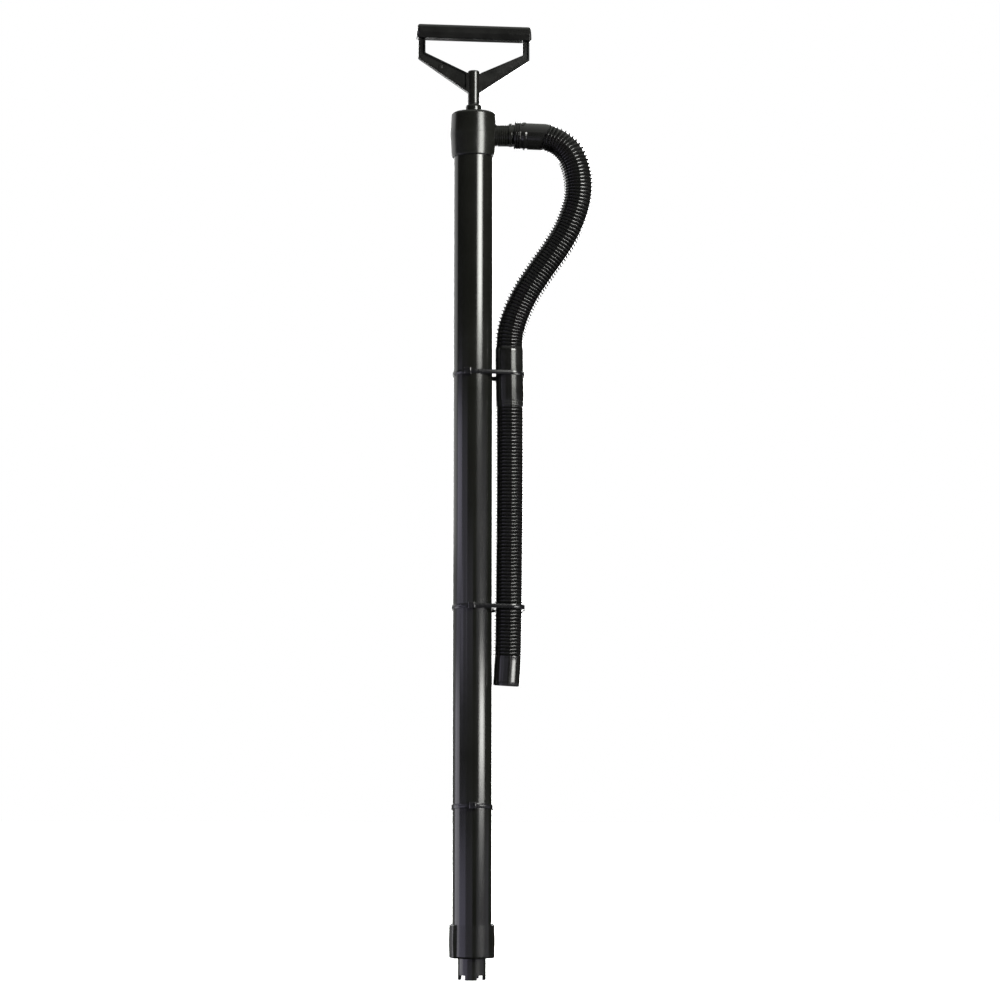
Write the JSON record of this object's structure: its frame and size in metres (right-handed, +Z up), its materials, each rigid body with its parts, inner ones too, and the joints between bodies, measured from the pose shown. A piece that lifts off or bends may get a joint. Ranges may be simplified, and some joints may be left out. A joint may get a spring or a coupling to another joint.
{
  "type": "hand bilge pump",
  "caption": "Long black upright hand pump with a D handle, a side spout, a corrugated discharge hose tied along the barrel, and a toothed intake foot.",
  "frame": {"origin": "on the barrel's axis, at the tips of the intake foot's teeth", "axes": "+Z up the barrel towards the handle, +X from the barrel's axis towards the spout, front at -Y"},
  "size_m": [0.1923, 0.0531, 1.0205],
  "materials": {
    "gloss_pipe": "glossy extruded plastic pipe",
    "gloss_moulding": "glossy injection-moulded plastic",
    "satin_handle": "satin injection-moulded plastic",
    "hose_plastic": "semi-gloss flexible plastic",
    "tie_nylon": "satin nylon",
    "seal_rubber": "matte rubber",
    "valve_plastic": "satin moulded plastic",
    "rod_plastic": "smooth drawn rod",
    "steel": "stainless steel"
  },
  "bodies": {
    "pump_body": {"barrel": "gloss_pipe", "pump_head": "gloss_moulding", "gland_collar": "gloss_moulding", "rod_seal_ring": "seal_rubber", "seal_washer": "valve_plastic", "foot_coupling": "gloss_moulding", "intake_foot": "gloss_moulding", "foot_gasket": "seal_rubber", "foot_valve_seat": "valve_plastic", "discharge_hose": "hose_plastic", "hose_inlet_cuff": "hose_plastic", "hose_end_cuff": "hose_plastic", "cable_tie_upper": "tie_nylon", "cable_tie_middle": "tie_nylon", "cable_tie_lower": "tie_nylon"},
    "foot_valve": {"foot_valve_disc": "seal_rubber", "foot_valve_stem": "valve_plastic"},
    "piston": {"piston_body": "valve_plastic", "piston_cup_seal": "seal_rubber", "piston_seal_retainer": "valve_plastic"},
    "piston_valve": {"piston_valve_disc": "seal_rubber"},
    "rod_and_handle": {"piston_rod": "rod_plastic", "piston_washer": "steel", "rod_nut": "steel", "valve_stop_washer": "steel", "rod_bumper": "seal_rubber", "handle_frame": "satin_handle", "handle_grip": "satin_handle", "handle_screw": "steel"}
  },
  "joints": [
    {"name": "plunger_stroke", "type": "slide", "parent": "pump_body", "child": "piston", "axis": [0, 0, 1], "range_m": [0, 0.8085]},
    {"name": "handle_turn", "type": "hinge", "parent": "piston", "child": "rod_and_handle", "pos_m": [0, 0, 0.07], "axis": [0, 0, 1], "continuous": true},
    {"name": "piston_valve_lift", "type": "slide", "parent": "piston", "child": "piston_valve", "axis": [0, 0, 1], "range_m": [0, 0.003]},
    {"name": "foot_valve_lift", "type": "slide", "parent": "pump_body", "child": "foot_valve", "axis": [0, 0, 1], "range_m": [0, 0.004]}
  ]
}
